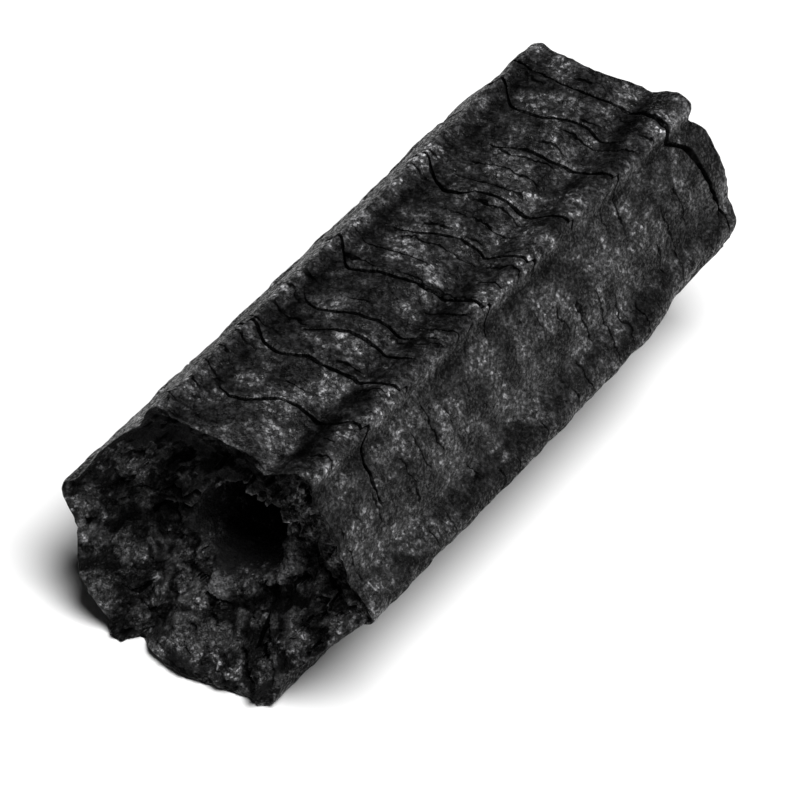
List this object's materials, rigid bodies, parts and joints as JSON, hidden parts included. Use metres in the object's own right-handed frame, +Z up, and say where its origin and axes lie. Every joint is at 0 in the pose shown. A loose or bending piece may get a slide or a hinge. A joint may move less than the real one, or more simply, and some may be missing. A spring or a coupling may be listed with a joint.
{
  "type": "pressed charcoal stick",
  "caption": "Hexagonal pressed charcoal stick, fuel for a grill, with rounded ridges, sunken flanks, a round hole down its middle, cracks across it and rough broken ends.",
  "frame": {"origin": "middle of the footprint, on the surface that the stick lies on", "axes": "+Y along the stick, from the dished front end to the slanted far end; +Z up"},
  "size_m": [0.0504, 0.1206, 0.0437],
  "materials": {
    "charcoal": "matt black charcoal, finely grained, with a faint sheen on the ridges"
  },
  "bodies": {
    "root": {"charcoal_stick": "charcoal"}
  },
  "joints": []
}
